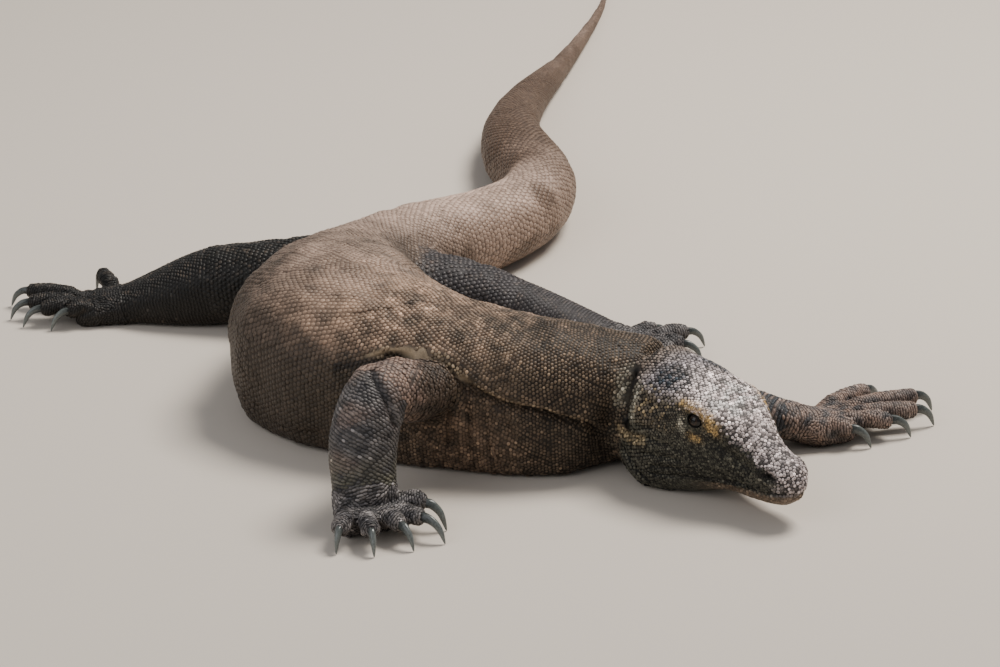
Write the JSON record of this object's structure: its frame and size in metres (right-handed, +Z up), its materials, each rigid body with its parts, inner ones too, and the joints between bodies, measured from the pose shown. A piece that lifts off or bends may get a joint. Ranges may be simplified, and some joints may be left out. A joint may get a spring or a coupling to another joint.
{
  "type": "komodo dragon",
  "caption": "Life-size still model of a resting Komodo dragon: body curved, head turned and lowered, near foreleg propped on its claws, long tail trailing behind.",
  "frame": {"origin": "on the ground, under the middle of the animal's box", "axes": "+Z up from the ground, +Y along the tail and away from the forequarters, +X to the side the head is turned to"},
  "size_m": [1.0357, 2.0349, 0.169],
  "materials": {
    "hide": "dry, beaded scales with dusty tops",
    "head": "dry, fine pale scales over dark skin",
    "limb": "dry, dark scales",
    "claw": "smooth horn, half gloss",
    "eye": "wet, mirror-smooth"
  },
  "bodies": {
    "root": {"head": "head", "lower_jaw": "head", "eye_left": "eye", "eye_right": "eye", "neck": "hide", "shoulders": "hide", "belly": "hide", "hips": "hide", "tail_1": "hide", "tail_2": "hide", "tail_3": "hide", "tail_4": "hide", "right_upper_arm": "limb", "right_forearm": "limb", "right_hand": "limb", "right_hand_claw_1": "claw", "right_hand_claw_2": "claw", "right_hand_claw_3": "claw", "right_hand_claw_4": "claw", "right_hand_claw_5": "claw", "left_upper_arm": "limb", "left_forearm": "limb", "left_hand": "limb", "left_hand_claw_1": "claw", "left_hand_claw_2": "claw", "left_hand_claw_3": "claw", "left_hand_claw_4": "claw", "left_hand_claw_5": "claw", "right_thigh": "limb", "right_shank": "limb", "right_foot": "limb", "right_foot_claw_1": "claw", "right_foot_claw_2": "claw", "right_foot_claw_3": "claw", "right_foot_claw_4": "claw", "right_foot_claw_5": "claw", "left_thigh": "limb", "left_shank": "limb", "left_foot": "limb", "left_foot_claw_1": "claw", "left_foot_claw_2": "claw", "left_foot_claw_3": "claw", "left_foot_claw_4": "claw", "left_foot_claw_5": "claw"}
  },
  "joints": []
}
